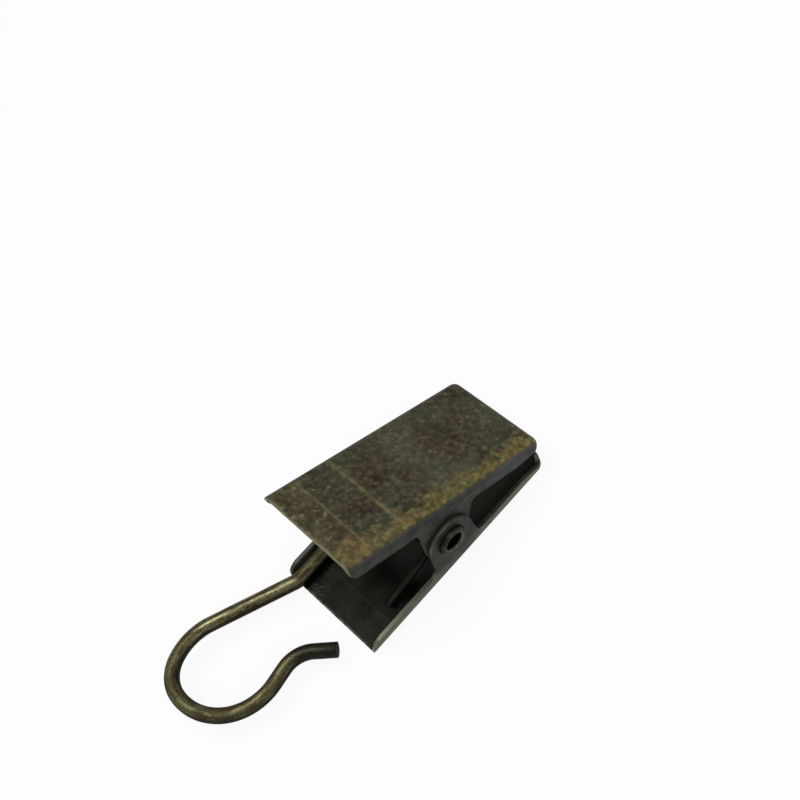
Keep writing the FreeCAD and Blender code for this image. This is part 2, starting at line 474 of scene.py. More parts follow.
    def flanges(self, g: Graph, at: SheetMap, skin: Field) -> Field:
        """Turns the skin to a darker grey on the flanges as painted shade, with a pale bluish painted sheen
        at the bend and towards the nose.

        Args:
            g: the material's tree.
            at: place on the stamping.
            skin: the outer face's colour.

        Returns:
            The colour of the whole outside; the lower jaw's flanges are dark above and lighter along their
            foot.
        """
        # Painted shade and reflection: the side walls are painted darker and greyer than the top, with a
        # bluish painted sheen along the bend.
        side = g.shade(g.mix(at.patch.rise(0.4, 0.6), self.slate, self.grey), 0.65 + 0.5 * at.grain)
        bend = at.edge.near(0.22, 0.24) * (0.25 + 0.5 * at.patch + 0.4 * at.along.rise(4.0, 11.0))
        side = g.mix(bend, side, self.painted_sheen)
        side = g.mix(at.along.rise(2.0, 10.0) * (0.1 + 0.5 * at.patch), side, self.painted_sheen)
        if self.place is Place.LOWER:
            side = g.shade(side, 1.0 - 0.2 * at.up.rise(2.5, 4.0))
            foot = at.up.rise(2.8, 1.4) * at.across.rise(0.0, 4.0)
            foot = foot * (0.3 + 0.7 * abs(at.along).rise(1.0, 4.5))
            side = g.mix(foot * (0.2 + 0.6 * at.patch), side, self.rim)
        far_side = (at.edge - 2 * self.half_width).rise(-0.38, -0.10)
        return g.mix(at.edge.rise(0.55, 0.10).most(far_side), skin, side)

    def inside(self, g: Graph, at: SheetMap, wear: SheetWear, deep: Field, flank: Field) -> Field:
        """Inner side painted nearly black, dark plating deepened as painted shade, scuffed where the wire
        leaves it and painted lighter where the jaws close it in, as painted fill light against the deep shade
        there.

        Args:
            g: the material's tree.
            at: place on the stamping.
            wear: how worn it is there.
            deep: 1 between the jaws, 0 on the open handle.
            flank: 1 on the far flange by the handle's end.

        Returns:
            The colour.
        """
        stretch, squeeze = self.smear_stretch
        length, width = at.along * stretch + at.across * stretch, at.across * squeeze - at.along * squeeze
        smear = g.noise(g.vector(length, width, at.up), self.smear_scale, 3.0, 0.7)
        scuffed = at.along.near(self.scuff[0], 2.2) * at.across.near(self.scuff[1], 2.0)
        scuffed = scuffed * smear.rise(0.46, 0.62)
        # Painted shade: the inside is painted nearly black, darker than the plating outside.
        skin = g.shade(g.mix(at.cloud.rise(0.35, 0.65), self.shade_black, self.moss), 0.45 + 0.5 * at.patch)
        skin = g.mix((scuffed * 0.8 + wear.lines * 0.2).least(1.0), skin, self.grey)
        # Painted fill light deep between the jaws, against the shade there.
        skin = g.mix(deep * 0.8, skin, self.painted_fill)
        # Painted light: the far flange's inner face by the handle's end is painted lighter, in the shaded
        # slot beside the wire.
        return g.mix(flank * (0.3 + 0.8 * at.patch), skin, self.rim)

    def cut_edges(self, g: Graph, at: SheetMap, cut: Field, skin: Field) -> Field:
        """Wears the rear lip and the sheet's cut edges down to metal, most of all on the handle; the light
        cut edges are painted highlight as well as wear.

        Args:
            g: the material's tree.
            at: place on the stamping.
            cut: 1 on the cut edges.
            skin: the colour of both faces.

        Returns:
            The colour of the whole stamping.
        """
        end_metal, far = (self.bare_and_glint, 0.75) if self.place is Place.UPPER else (self.rim, 0.3)
        metal = g.mix(at.along.rise(-9.0, -12.0), self.rim, end_metal)
        lip = at.along.rise(self.lip + 0.3, self.lip) * (0.2 + 0.8 * at.grain.rise(0.36, 0.62))
        skin = g.mix(lip * 0.55, skin, metal)
        # The cut edges are painted light: partly wear, partly painted highlight where their rounding would
        # catch the light.
        worn = (0.32 + 0.6 * at.along.rise(3.0, -6.0)) * (far + (1.0 - far) * at.across.rise(-6.0, 4.0))
        worn = worn * (0.6 + 0.8 * at.patch)
        return g.mix(cut, skin, g.shade(g.mix(worn, self.slate, metal), 0.55 + 0.9 * at.grain))

    def material(self) -> bpy.types.Material:
        """Builds the finish.

        Returns:
            The material, with its wear fixed to the jaw.
        """
        g = Graph(f"{self.place.value}_jaw_bronze")
        at = self.sheet_map(g)
        wear = self.wear(at)
        inner, cut = g.attribute("inner_side"), g.attribute("cut_edge")
        deep = at.along.rise(*self.closed_in)
        flank = at.along.rise(*self.flank_along) * at.across.rise(*self.flank_across)
        skin = self.flanges(g, at, self.rubbed(g, at, wear, self.plating(g, at)))
        skin = g.mix(inner, skin, self.inside(g, at, wear, deep, flank))
        skin = self.cut_edges(g, at, cut, skin)
        rough = 0.50 + at.cloud.swing(0.16) - 0.08 * wear.total + at.grain.swing(0.2)
        # Less metallic where the painted fill and the lighter far flange lie, so that both read lighter.
        metallic = 0.7 + 0.25 * inner - 0.75 * inner * (deep + flank).least(1.0)
        return g.metal(skin, metallic, rough, at.grain * 0.7 + at.patch * 0.3, self.lift)


@dataclass(frozen=True)
class WornWire:
    """Drawn wire, plated dark, with brass on its top that is partly rub and partly painted highlight, painted
    nearly black below as painted shade, and nearly black at the tip.

    A pair of places gives where a change begins and where it is complete, in millimetres from the tip.
    """

    black: Colour = srgb(25, 25, 22)
    olive: Colour = srgb(74, 75, 48)
    umber: Colour = srgb(79, 71, 48)
    # Brass of the top, partly rub and partly painted highlight.
    brass: Colour = srgb(152, 141, 106)
    steel: Colour = srgb(34, 34, 31)
    grain_scale: float = 2.6
    pit_scale: float = 4.6
    cloud_stretch: tuple[float, float, float] = (6.0, 0.55, 0.55)
    bright_from: tuple[float, float] = (22.0, 28.0)
    bright_to: tuple[float, float] = (43.0, 39.0)
    dark_tip: tuple[float, float] = (7.0, 3.5)
    # Painted shade where the wire runs in under the upper jaw.
    dim_exit: tuple[float, float] = (38.5, 42.0)
    lift: float = 0.012

    def material(self) -> bpy.types.Material:
        """Builds the finish.

        Returns:
            The material, with draw lines along the wire.
        """
        g = Graph("hook_wire_bronze")
        where = g.vector(*g.place())
        run = g.attribute("wire_place", "Vector")
        top, tip, cut = g.attribute("faces_up"), g.attribute("from_tip"), g.attribute("cut_end")
        lines = g.noise(run, 1.0, 3.0, 0.6)
        grain = g.noise(where, self.grain_scale, 3.0, 0.65)
        pits = g.noise(where, self.pit_scale, 2.0, 0.6)
        drawn = g.node("ShaderNodeVectorMath", {"operation": "MULTIPLY"}, {0: run, 1: self.cloud_stretch})
        cloud = g.noise(drawn, 1.0, 3.0, 0.6, 0.3)
        # Painted shade: the wire is painted near black where its normal points down, and lighter on top.
        lit_top = (top + lines.swing(0.9)).rise(0.22, 0.95)
        shine = tip.rise(*self.bright_from) * tip.rise(*self.bright_to)
        skin = g.mix(lit_top, self.black, g.mix(cloud.rise(0.4, 0.6), self.umber, self.olive))
        # Painted highlight, partly rub: brass laid along the top of the wire, strongest where it runs free of
        # the clip.
        highlight_and_rub = lit_top * (0.55 + 0.45 * shine) * cloud.rise(0.38, 0.60) * lines.rise(0.34, 0.66)
        skin = g.mix(highlight_and_rub * 0.8, skin, self.brass)
        skin = g.mix(tip.rise(*self.dark_tip) * 0.9, skin, self.steel)
        # Painted shade: the wire darkens where it runs in under the upper jaw.
        skin = g.shade(skin, (0.2 + 0.9 * grain + 0.75 * cloud) * (1.0 - 0.3 * tip.rise(*self.dim_exit)))
        skin = g.mix(pits.rise(0.46, 0.34) * 0.65, skin, self.black)
        skin = g.mix(cut, skin, self.black)
        rough = 0.48 - 0.12 * shine - cloud.swing(0.5) + grain.swing(0.3) + 0.12 * cut
        return g.metal(skin, 0.9, rough, grain * 0.6 + lines * 0.4, self.lift)


@dataclass(frozen=True)
class RivetMetal:
    """Rivet in dull bronze: a painted highlight round the bore, which is painted nearly black as painted
    shade, a dark rim, and a brassy head.
    """

    dull: Colour = srgb(40, 40, 36)
    worn: Colour = srgb(58, 57, 50)
    # Light colour of the painted highlight round the bore.
    lip: Colour = srgb(112, 110, 98)
    brass: Colour = srgb(122, 110, 66)
    # Painted shade inside the bore.
    shade_black: Colour = srgb(16, 16, 14)
    grain_scale: float = 3.4
    cloud_scale: float = 1.0
    glint_r: float = 1.2
    glint_half: float = 0.17
    lift: float = 0.02

    def material(self) -> bpy.types.Material:
        """Builds the finish.

        Returns:
            The material, with its painted highlight round the bore drawn by the distance from the pivot's
            axis.
        """
        g = Graph("rivet_bronze")
        x, y, z = g.place()
        where = g.vector(x, y, z)
        grain = g.noise(where, self.grain_scale, 3.0, 0.65)
        cloud = g.noise(where, self.cloud_scale, 3.0, 0.6)
        bore, rim, head = g.attribute("in_bore"), g.attribute("on_rim"), g.attribute("on_head")
        arm = g.vector(x, 0.0, z - PIVOT_Z)
        radius = g.node("ShaderNodeVectorMath", {"operation": "LENGTH"}, {0: arm}, "Value")
        skin = g.mix(cloud.rise(0.38, 0.62), self.dull, self.worn)
        # Painted highlight: a light ring on the rim along the bore's edge.
        skin = g.mix(rim * radius.near(self.glint_r, self.glint_half) * (0.4 + 0.6 * cloud), skin, self.lip)
        skin = g.mix(head * (0.3 + grain.rise(0.35, 0.65) * 0.6), skin, self.brass)
        # Painted shade: the bore is painted nearly black.
        skin = g.mix(bore, skin, self.shade_black)
        return g.metal(skin, 0.85, 0.44 + grain.swing(0.2), grain, self.lift)


@dataclass(frozen=True)
class SpringSteel:
    """Blued spring wire with a little rust-brown."""

    steel: Colour = srgb(38, 36, 35)
    brown: Colour = srgb(52, 42, 36)
    grain_scale: float = 6.0
    cloud_scale: float = 0.9
    lift: float = 0.015

    def material(self) -> bpy.types.Material:
        """Builds the finish.

        Returns:
            The material.
        """
        g = Graph("spring_wire_steel")
        where = g.vector(*g.place())
        grain = g.noise(where, self.grain_scale, 3.0, 0.6)
        cloud = g.noise(where, self.cloud_scale, 4.0, 0.6)
        skin = g.shade(g.mix(cloud.rise(0.45, 0.7), self.steel, self.brown), 0.6 + 0.6 * grain)
        return g.metal(skin, 0.9, 0.38 + cloud.swing(0.2), grain, self.lift)


def turned(vectors: np.ndarray, axis: np.ndarray, angle: np.ndarray) -> np.ndarray:
    """Turns vectors about an axis, each by its own angle.

    Formula: v cos a + (k x v) sin a + k (k . v)(1 - cos a), with k the axis.

    Args:
        vectors: one vector, or one for each angle.
        axis: unit axis.
        angle: angles in radians.

    Returns:
        One turned vector for each angle.
    """
    vectors = np.broadcast_to(vectors, (len(angle), 3))
    c, s = np.cos(angle)[:, None], np.sin(angle)[:, None]
    return vectors * c + np.cross(axis, vectors) * s + np.outer(vectors @ axis, axis) * (1 - c)


class WirePath:
    """Centre line of a bent wire, made of straight runs and bends, with a frame that doesn't twist."""

    def __init__(self, start: np.ndarray, ahead: np.ndarray, side: np.ndarray, step: float) -> None:
        """Starts the wire.

        Args:
            start: first point, in millimetres.
            ahead: direction of the wire there.
            side: a direction square to it.
            step: greatest distance between rings.
        """
        self.at, self.ahead, self.side, self.step = start, ahead, side, step
        self.points = [start[None]]
        self.sides = [side[None]]
        self.aheads = [ahead[None]]

    def run(self, length: float) -> "WirePath":
        """Goes straight on.

        Args:
            length: how far.

        Returns:
            This path.
        """
        share = np.linspace(0, 1, max(2, int(np.ceil(length / self.step)) + 1))[1:, None]
        self._add(self.at + share * length * self.ahead, np.repeat(self.side[None], len(share), 0),
                  np.repeat(self.ahead[None], len(share), 0))
        return self

    def bend(self, axis: np.ndarray, radius: float, angle: float) -> "WirePath":
        """Turns about an axis square to the wire.

        Args:
            axis: unit axis; a right-handed turn about it.
            radius: bend radius of the centre line.
            angle: turn in radians.

        Returns:
            This path.
        """
        count = max(3, int(np.ceil(radius * angle / self.step)) + 1)
        angles = np.linspace(0, angle, count)[1:]
        centre = self.at + radius * np.cross(axis, self.ahead)
        self._add(centre + turned(self.at - centre, axis, angles), turned(self.side, axis, angles),
                  turned(self.ahead, axis, angles))
        return self

    def corners(self, points: list[np.ndarray], radii: list[float]) -> "WirePath":
        """Runs through points with rounded corners.

        Args:
            points: the corners, and the end point.
            radii: bend radius at each corner but the end.

        Returns:
            This path.
        """
        for here, after, radius in zip(points, points[1:], radii):
            leave = (after - here) / np.linalg.norm(after - here)
            angle = float(np.arccos(np.clip(self.ahead @ leave, -1, 1)))
            axis = np.cross(self.ahead, leave)
            self.run(float(np.linalg.norm(here - self.at)) - radius * np.tan(angle / 2))
            self.bend(axis / np.linalg.norm(axis), radius, angle)
        return self.run(float(np.linalg.norm(points[-1] - self.at)))

    def _add(self, points: np.ndarray, sides: np.ndarray, aheads: np.ndarray) -> None:
        """Keeps new rings and moves to the last of them.

        Args:
            points: centres of the rings.
            sides: a direction square to the wire at each ring.
            aheads: the wire's direction at each ring.
        """
        self.points.append(points)
        self.sides.append(sides)
        self.aheads.append(aheads)
        self.at, self.side, self.ahead = points[-1], sides[-1], aheads[-1]

    def arrays(self) -> tuple[np.ndarray, np.ndarray, np.ndarray]:
        """Points, sides and directions of all rings."""
        return np.concatenate(self.points), np.concatenate(self.sides), np.concatenate(self.aheads)


class Skin:
    """Closed mesh from a grid of rings, with values stored on its points or faces."""

    @staticmethod
    def grid(points: np.ndarray) -> tuple[np.ndarray, np.ndarray]:
        """Joins rings to a closed tube and shuts both ends with a point in the middle.

        Args:
            points: rings x around x 3.

        Returns:
            Vertices, and quads as vertex numbers (an end's triangle repeats its last number).
        """
        rings, around = points.shape[:2]
        row, here = np.meshgrid(np.arange(rings - 1) * around, np.arange(around), indexing="ij")
        after = (here + 1) % around
        quads = np.stack([row + here, row + after, row + around + after, row + around + here], -1)
        ends = np.stack([points[0].mean(0), points[-1].mean(0)])
        loop = np.arange(around)
        turn = (loop + 1) % around
        first = rings * around
        lid = np.stack([turn, loop, np.full(around, first), np.full(around, first)], -1)
        base = (rings - 1) * around
        cap = np.stack([base + loop, base + turn, np.full(around, first + 1), np.full(around, first + 1)], -1)
        return np.concatenate([points.reshape(-1, 3), ends]), np.concatenate([quads.reshape(-1, 4), lid, cap])

    @staticmethod
    def mesh(name: str, vertices: np.ndarray, quads: np.ndarray) -> bpy.types.Object:
        """Makes an object at the origin from vertices in millimetres.

        Args:
            name: the object's name.
            vertices: places in millimetres.
            quads: four vertex numbers a face, the last one repeated for a triangle.

        Returns:
            The object, smooth shaded.
        """
        data = bpy.data.meshes.new(name)
        corners = np.where(quads[:, 2] == quads[:, 3], 3, 4)
        flat = quads[np.arange(4)[None] < corners[:, None]]
        data.vertices.add(len(vertices))
        data.vertices.foreach_set("co", (vertices * MM).astype(np.float32).ravel())
        data.loops.add(len(flat))
        data.loops.foreach_set("vertex_index", flat.astype(np.int32))
        data.polygons.add(len(quads))
        starts = np.concatenate([[0], np.cumsum(corners)[:-1]])
        data.polygons.foreach_set("loop_start", starts.astype(np.int32))
        data.update(calc_edges=True)
        data.validate()
        data.polygons.foreach_set("use_smooth", np.ones(len(data.polygons), bool))
        made = bpy.data.objects.new(name, data)
        bpy.context.scene.collection.objects.link(made)
        return made

    @staticmethod
    def store(piece: bpy.types.Object, name: str, values: np.ndarray, domain: str = "POINT") -> None:
        """Stores one number, or one vector, for each point or face.

        Args:
            piece: the object.
            name: what materials read it by.
            values: one row for each element.
            domain: POINT or FACE.
        """
        kind, key = ("FLOAT", "value") if values.ndim == 1 else ("FLOAT_VECTOR", "vector")
        layer = piece.data.attributes.new(name, kind, domain)
        layer.data.foreach_set(key, values.astype(np.float32).ravel())


@dataclass
class Tube:
    """Round wire carried along a path, with softly rounded cut ends."""

    radius: float
    around: int
    end_round: float = 0.06
    end_rings: int = 4
    line_scale: float = 0.06
    girth_scale: float = 2.2

    def sections(self, path: WirePath) -> tuple[np.ndarray, np.ndarray, np.ndarray, np.ndarray, np.ndarray]:
        """Lines up the rings of the wire, with a rounded rim at each cut.

        Formula: at each end the rings shrink and step out along a quarter circle of the rounding's radius.
        They start that much short of the end, so that the wire keeps its length.

        Args:
            path: the wire's centre line.

        Returns:
            Centre, side, direction and radius of each ring, and the wire's length up to it.
        """
        points, sides, aheads = path.arrays()
        length = np.concatenate([[0], np.cumsum(np.linalg.norm(np.diff(points, axis=0), axis=1))])
        inner = (length > self.end_round) & (length < length[-1] - self.end_round)
        arc = np.linspace(0, np.pi / 2, self.end_rings, endpoint=False)
        sink = self.end_round * (1 - np.cos(arc))
        rim = self.radius - self.end_round + self.end_round * np.sin(arc)
        centres = np.concatenate([points[0] + np.outer(sink, aheads[0]), points[inner],
                                  points[-1] - np.outer(sink[::-1], aheads[-1])])
        side, ahead = (np.concatenate([np.repeat(rows[:1], self.end_rings, 0), rows[inner],
                                       np.repeat(rows[-1:], self.end_rings, 0)]) for rows in (sides, aheads))
        radius = np.concatenate([rim, np.full(inner.sum(), self.radius), rim[::-1]])
        along = np.concatenate([np.zeros(self.end_rings), length[inner], np.full(self.end_rings, length[-1])])
        return centres, side, ahead, radius, along

    def build(self, name: str, path: WirePath) -> bpy.types.Object:
        """Sweeps the section.

        Formula: ring point = centre + r (cos a side + sin a (ahead x side)).

        Args:
            name: the object's name.
            path: the wire's centre line.

        Returns:
            The wire, which stores its length and angle as wire_place, the upward share of its normal as
            faces_up, the distance to its last end as from_tip and its cut faces as cut_end.
        """
        centres, side, ahead, radius, along = self.sections(path)
        up = np.cross(ahead, side)
        angle = np.linspace(0, 2 * np.pi, self.around, endpoint=False)
        c, s = np.cos(angle), np.sin(angle)
        outward = c[None, :, None] * side[:, None] + s[None, :, None] * up[:, None]
        vertices, quads = Skin.grid(centres[:, None] + radius[:, None, None] * outward)
        piece = Skin.mesh(name, vertices, quads)
        spot = np.stack([np.repeat(along, self.around) * self.line_scale,
                         np.tile(c, len(along)) * self.girth_scale,
                         np.tile(s, len(along)) * self.girth_scale], -1)
        left = np.repeat(along[-1] - along, self.around)
        cut = np.zeros(len(quads))
        cut[-2 * self.around:] = 1
        # The two points in the middle of the cuts come last.
        Skin.store(piece, "wire_place", np.concatenate([spot, np.zeros((2, 3))]))
        Skin.store(piece, "faces_up", np.concatenate([outward[:, :, 2].ravel(), [0.0, 0.0]]))
        Skin.store(piece, "from_tip", np.concatenate([left, [along[-1], 0.0]]))
        Skin.store(piece, "cut_end", cut, "FACE")
        return piece


def touch(reach: float, level: float, radius: float) -> tuple[float, float]:
    """Tangent from a point behind the pivot to a circle about it.

    Formula: the touch point lies past the point's own direction by the angle whose cosine is the radius over
    the point's distance from the pivot.

    Args:
        reach: the point's distance behind the pivot.
        level: the point's height.
        radius: the circle's radius.

    Returns:
        Angle of the touch point about the pivot, and the tangent's length.
    """
    dx, dz = -reach, level - PIVOT_Z
    span = np.hypot(dx, dz)
    angle = np.arctan2(dz, dx) + np.arccos(radius / span)
    return float(angle), float(np.sqrt(span ** 2 - radius ** 2))


def on_pivot(angle: float, radius: float, y: float) -> np.ndarray:
    """Point on a circle about the pivot."""
    return PIVOT + np.array([radius * np.cos(angle), y, radius * np.sin(angle)])


@dataclass
class Hook:
    """Bent wire hook: open eye on the rivet, shank, flare, loop and turned-out tip.

    Turns are in degrees. Each bend of the loop, and the tip, has a radius, a turn and then a straight run.
    """

    wire_r: float = 0.85
    eye_r: float = 2.35
    eye_y: float = 5.15
    eye_turn: float = 235.0
    level: float = 1.50
    shank_level_x: float = -9.4
    shank_ease: float = 22.0
    bend_x: float = -13.1
    tilt: float = 6.0
    flare_r: float = 2.9
    flare: float = 20.7
    reach: float = 10.15
    loop: tuple[tuple[float, float, float], ...] = ((6.7, 45.5, 0.0), (4.15, 59.8, 0.0), (6.56, 108.0, 1.85))
    tip: tuple[float, float, float] = (3.7, 57.7, 2.6)
    around: int = 56
    step: float = 0.16
    finish: WornWire = field(default_factory=WornWire)

    def path(self) -> WirePath:
        """Centre line from the eye to the tip.

        Returns:
            The path.
        """
        begin, _ = touch(-self.shank_level_x, self.level, self.eye_r)
        turn = np.radians(self.eye_turn)
        first = begin + turn
        ahead = np.array([np.sin(first), 0.0, -np.cos(first)])
        path = WirePath(on_pivot(first, self.eye_r, self.eye_y), ahead, ACROSS, self.step)
        path.bend(ACROSS, self.eye_r, turn)
        tilt, flare = np.radians(self.tilt), np.radians(self.flare)
        back = np.array([-np.cos(tilt), 0.0, np.sin(tilt)])
        out = back * np.cos(flare) + ACROSS * np.sin(flare)
        settle = np.array([self.shank_level_x, self.eye_y, self.level])
        set_back = self.flare_r * np.tan(flare / 2)
        bend = np.array([self.bend_x - set_back, self.eye_y, self.level])
        path.corners([settle, bend, bend + out * (set_back + self.reach)], [self.shank_ease, self.flare_r])
        normal = np.cross(back, ACROSS)
        for radius, degrees, run in self.loop:
            path.bend(-normal, radius, np.radians(degrees))
            if run:
                path.run(run)
        radius, degrees, run = self.tip
        return path.bend(normal, radius, np.radians(degrees)).run(run)

    def build(self) -> bpy.types.Object:
        """Makes and dresses the hook.

        Returns:
            The hook.
        """
        piece = Tube(self.wire_r, self.around).build("wire_hook", self.path())
        piece.data.materials.append(self.finish.material())
        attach(piece, "hook")
        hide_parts("hook")
        return piece


@dataclass
class TorsionSpring:
    """Torsion spring on the rivet; each half turn is a flat arc that steps over by half a pitch."""

    wire_r: float = 0.42
    coil_r: float = 2.04
    halves: int = 2
    pitch: float = 1.06
    first_y: float = -4.7
    leg_reach: float = 9.1
    leg_level: float = 1.08
    end_round: float = 0.08
    around: int = 32
    step: float = 0.12
    finish: SpringSteel = field(default_factory=SpringSteel)

    def path(self) -> WirePath:
        """Centre line: lower leg, coil, upper leg.

        Returns:
            The path.
        """
        begin, leg = touch(self.leg_reach, self.leg_level, self.coil_r)
        rest = (-JAW_ANGLE - 2 * begin) % (2 * np.pi)
        ahead = np.array([-np.sin(begin), 0.0, np.cos(begin)])
        path = WirePath(on_pivot(begin, self.coil_r, self.first_y) - ahead * leg, ahead, ACROSS, self.step)
        path.run(leg).bend(-ACROSS, self.coil_r, rest / 2)
        for _ in range(self.halves):
            inward = np.cross(-ACROSS, path.ahead)
            chord = 2 * self.coil_r * inward + ACROSS * self.pitch / 2
            size = float(np.linalg.norm(chord))
            path.bend(np.cross(path.ahead, chord / size), size / 2, np.pi)
        return path.bend(-ACROSS, self.coil_r, rest / 2).run(leg)

    def build(self) -> bpy.types.Object:
        """Makes and dresses the spring; its coil sits on the rivet between the two jaws.

        Returns:
            The spring.
        """
        piece = Tube(self.wire_r, self.around, self.end_round).build("torsion_spring", self.path())
        piece.data.materials.append(self.finish.material())
        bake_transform(piece)
        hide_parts("spring")
        return piece


class RivetZone(IntEnum):
    """Which part of the rivet a face is on."""

    BORE = 0
    RIM = 1
    SHANK = 2
    HEAD = 3


@dataclass
class Rivet:
    """Tubular rivet: hollow rolled rim on the near side, closed and dished head on the far side."""

    half: float = 7.05
    shank_r: float = 1.40
    bore_r: float = 1.10
    bore_depth: float = 7.0
    cone: float = 0.40
    cone_mid_r: float = 0.50
    rim_r: float = 1.78
    rim_t: float = 0.55
    rim_roll: float = 0.32
    roll_gap: float = 0.10
    head_r: float = 1.85
    head_t: float = 0.65
    head_roll: float = 0.40
    dish_r: float = 0.95
    dish: float = 0.25
    axis_r: float = 0.02
    bore_steps: int = 10
    rim_steps: int = 17
    head_steps: int = 9
    around: int = 72
    finish: RivetMetal = field(default_factory=RivetMetal)

    def profile(self) -> tuple[np.ndarray, np.ndarray, np.ndarray]:
        """Half section from the bore's bottom out over the rim, along the shank and over the head.

        Formula: the bore ends in a shallow cone, the rim is half an ellipse between bore and rim radius, the
        head's edge a quarter circle and its dish a cosine bowl.

        Returns:
            Radius and y of each profile point, and its RivetZone.
        """
        near, far, bottom = -self.half - self.rim_t, self.half + self.head_t, self.bore_depth - self.half
        over = np.linspace(np.pi, 0, self.rim_steps)
        roll = np.linspace(0, np.pi / 2, self.head_steps)
        inward = np.linspace(1, 0, self.head_steps)
        middle, spread = (self.rim_r + self.bore_r) / 2, (self.rim_r - self.bore_r) / 2
        bore_y = np.linspace(bottom - self.cone, near + self.rim_roll + self.roll_gap, self.bore_steps)
        dish_y = far - self.dish * (0.5 + 0.5 * np.cos(np.pi * inward))
        parts = [
            ([self.axis_r, self.cone_mid_r, self.bore_r],
             [bottom + self.cone, bottom + self.cone / 2, bottom], RivetZone.BORE),
            (np.full(len(bore_y), self.bore_r), bore_y, RivetZone.BORE),
            (middle + spread * np.cos(over), near + self.rim_roll * (1 - np.sin(over)), RivetZone.RIM),
            ([self.rim_r, self.shank_r, self.shank_r, self.head_r],
             [-self.half, -self.half, self.half, self.half], RivetZone.SHANK),
            (self.head_r - self.head_roll * (1 - np.cos(roll)), far - self.head_roll * (1 - np.sin(roll)),
             RivetZone.HEAD),
            (self.dish_r * inward + self.axis_r * (1 - inward), dish_y, RivetZone.HEAD),
        ]
        radius = np.concatenate([np.asarray(r, float) for r, _, _ in parts])
        y = np.concatenate([np.asarray(places, float) for _, places, _ in parts])
        zone = np.concatenate([np.full(len(r), int(kind)) for r, _, kind in parts])
        return radius, y, zone

    def build(self) -> bpy.types.Object:
        """Turns the half section about the pivot and dresses it.

        Formula: point = pivot + radius (cos a, 0, sin a) + y along the pivot's axis.

        Returns:
            The rivet, which stores its bore, rim and head as in_bore, on_rim and on_head.
        """
        radius, y, zone = self.profile()
        angle = np.linspace(0, 2 * np.pi, self.around, endpoint=False)
        ring = np.stack([np.cos(angle), np.zeros_like(angle), np.sin(angle)], -1)
        points = radius[:, None, None] * ring[None] + y[:, None, None] * ACROSS + PIVOT
        vertices, quads = Skin.grid(points[:, ::-1])
        piece = Skin.mesh("tube_rivet", vertices, quads)
        ends = np.repeat([int(RivetZone.BORE), int(RivetZone.HEAD)], self.around)
        zones = np.concatenate([np.repeat(zone[1:], self.around), ends])
        marks = {"in_bore": RivetZone.BORE, "on_rim": RivetZone.RIM, "on_head": RivetZone.HEAD}
        for name, wanted in marks.items():
            Skin.store(piece, name, (zones == wanted).astype(float), "FACE")
        piece.data.set_sharp_from_angle(angle=SHARP_ANGLE)
        piece.data.materials.append(self.finish.material())
        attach(piece, "lower")
        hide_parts("rivet")
        return piece


